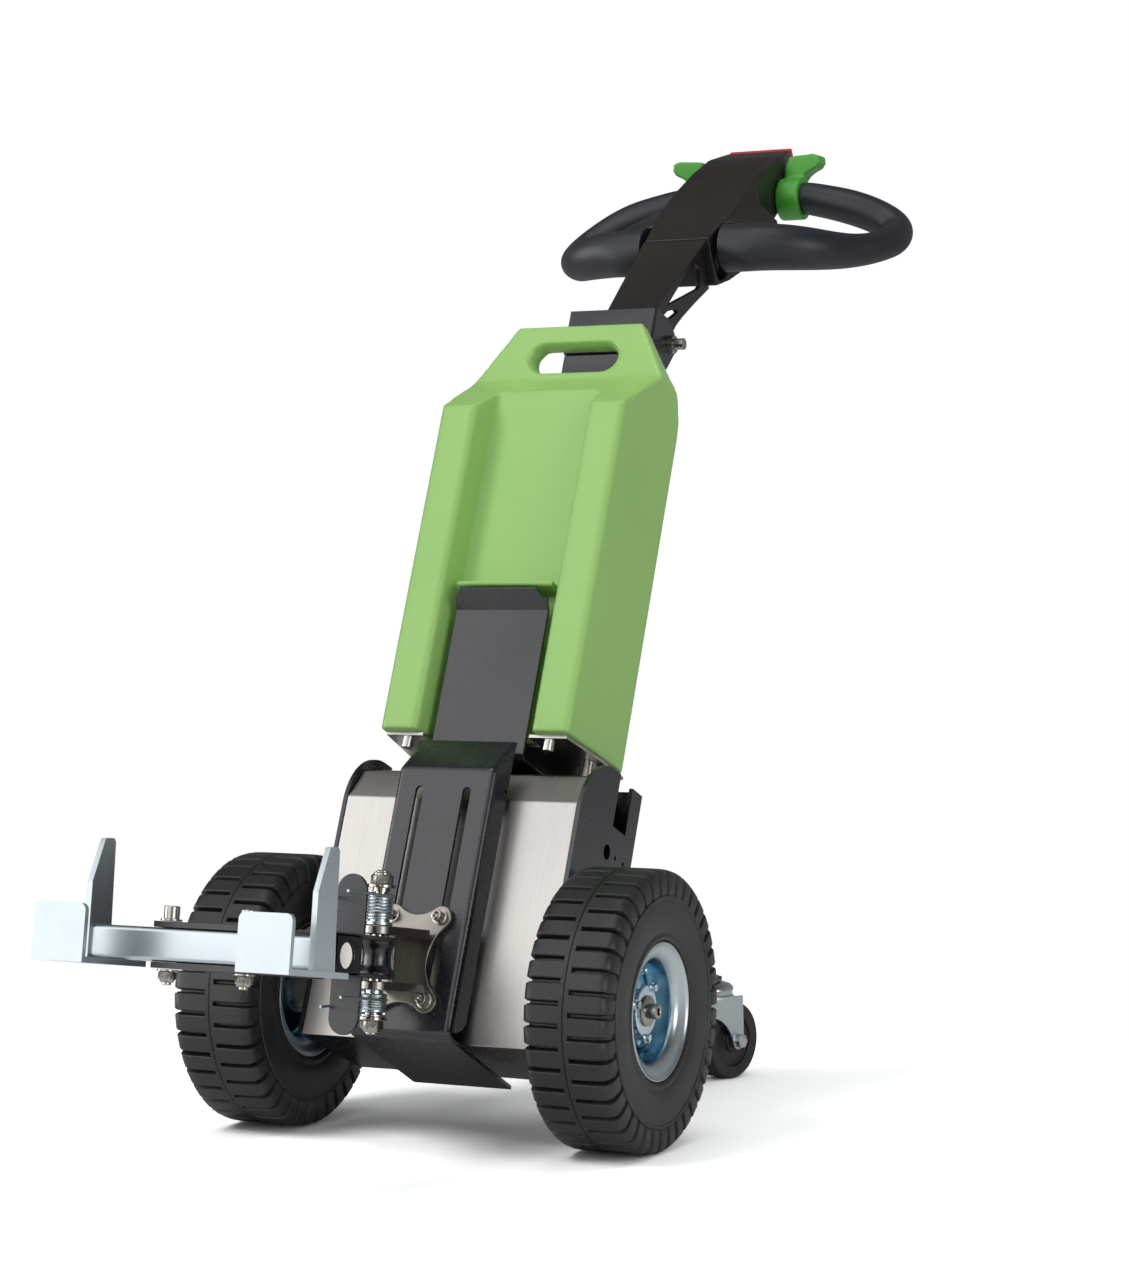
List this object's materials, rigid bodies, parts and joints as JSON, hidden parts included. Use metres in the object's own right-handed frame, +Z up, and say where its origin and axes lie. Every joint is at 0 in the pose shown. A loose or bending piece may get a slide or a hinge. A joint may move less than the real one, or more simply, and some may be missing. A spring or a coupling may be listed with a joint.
{
  "type": "electric tow tractor",
  "caption": "Walk-behind battery tow tractor with a leaning pack, looped tiller and a sprung hitch cradle that grips a trolley's frame.",
  "frame": {"origin": "centre of the footprint box on the ground", "axes": "+X to the machine's right as seen from the hitch, +Y from the hitch to the operator, +Z up"},
  "size_m": [0.449, 1.2867, 1.0253],
  "materials": {
    "powder_black": "powder coat, fine texture",
    "brushed_sheet": "brushed",
    "bright_screws": "plain",
    "zinc_steel": "blue zinc plated",
    "cast_grey": "cast",
    "green_plastic": "satin moulded",
    "tyre_rubber": "matt",
    "caster_rubber": "matt",
    "black_plastic": "fine grain",
    "grip_rubber": "soft satin",
    "lever_green": "satin",
    "button_red": "satin"
  },
  "bodies": {
    "chassis": {"side_plate_left": "powder_black", "side_plate_right": "powder_black", "front_cover": "brushed_sheet", "rear_panel": "powder_black", "bottom_pan": "powder_black", "hitch_plate": "powder_black", "guide_strip": "powder_black", "column": "powder_black", "tiller_bracket": "powder_black", "hinge_bolt": "bright_screws", "drive_unit": "cast_grey", "caster_frame": "powder_black", "pack_posts": "bright_screws"},
    "pack": {"pack_hull": "green_plastic", "pack_base": "brushed_sheet"},
    "hitch_carriage": {"hitch_bracket": "brushed_sheet", "bracket_screws": "bright_screws", "hitch_pin": "bright_screws", "spring_upper": "zinc_steel", "spring_lower": "zinc_steel"},
    "hitch_arm": {"hitch_arm": "powder_black", "clamp_plate_top": "powder_black", "clamp_plate_bottom": "powder_black", "cradle": "zinc_steel", "clamp_bolts": "bright_screws"},
    "wheel_left": {"tyre_left": "tyre_rubber", "rim_left": "zinc_steel", "hub_left": "zinc_steel"},
    "wheel_right": {"tyre_right": "tyre_rubber", "rim_right": "zinc_steel", "hub_right": "zinc_steel"},
    "caster_left": {"caster_fork_left": "zinc_steel"},
    "caster_right": {"caster_fork_right": "zinc_steel"},
    "caster_roll_left": {"caster_wheel_left": "caster_rubber"},
    "caster_roll_right": {"caster_wheel_right": "caster_rubber"},
    "tiller": {"tiller_neck": "black_plastic", "tiller_head": "black_plastic", "grip_loop_left": "grip_rubber", "grip_loop_right": "grip_rubber", "thumb_lever_left": "lever_green", "thumb_lever_right": "lever_green", "stop_button": "button_red"}
  },
  "joints": [
    {"name": "wheel_left_spin", "type": "hinge", "parent": "chassis", "child": "wheel_left", "pos_m": [-0.1825, -0.1477, 0.13], "axis": [1, 0, 0], "continuous": true},
    {"name": "wheel_right_spin", "type": "hinge", "parent": "chassis", "child": "wheel_right", "pos_m": [0.1825, -0.1477, 0.13], "axis": [1, 0, 0], "continuous": true},
    {"name": "caster_left_swivel", "type": "hinge", "parent": "chassis", "child": "caster_left", "pos_m": [-0.087, 0.2703, 0.095], "axis": [0, 0, 1], "continuous": true},
    {"name": "caster_right_swivel", "type": "hinge", "parent": "chassis", "child": "caster_right", "pos_m": [0.087, 0.2703, 0.095], "axis": [0, 0, 1], "continuous": true},
    {"name": "caster_left_roll", "type": "hinge", "parent": "caster_left", "child": "caster_roll_left", "pos_m": [-0.07924, 0.29928, 0.04], "axis": [0.9659, -0.2588, 0], "continuous": true},
    {"name": "caster_right_roll", "type": "hinge", "parent": "caster_right", "child": "caster_roll_right", "pos_m": [0.09476, 0.29928, 0.04], "axis": [0.9659, -0.2588, 0], "continuous": true},
    {"name": "hitch_height", "type": "slide", "parent": "chassis", "child": "hitch_carriage", "axis": [0, 0.3746, 0.9272], "range_m": [0, 0.115]},
    {"name": "hitch_swing", "type": "hinge", "parent": "hitch_carriage", "child": "hitch_arm", "pos_m": [0, -0.2832, 0.1875], "axis": [0, 0.1478, 0.989], "range_deg": [-40, 40], "stiffness_Nm_per_rad": 12},
    {"name": "pack_lift", "type": "slide", "parent": "chassis", "child": "pack", "axis": [0, 0.3746, 0.9272], "range_m": [0, 0.16]},
    {"name": "tiller_tilt", "type": "hinge", "parent": "chassis", "child": "tiller", "pos_m": [0, 0.2555, 0.77186], "axis": [1, 0, 0], "range_deg": [-15, 20]}
  ]
}
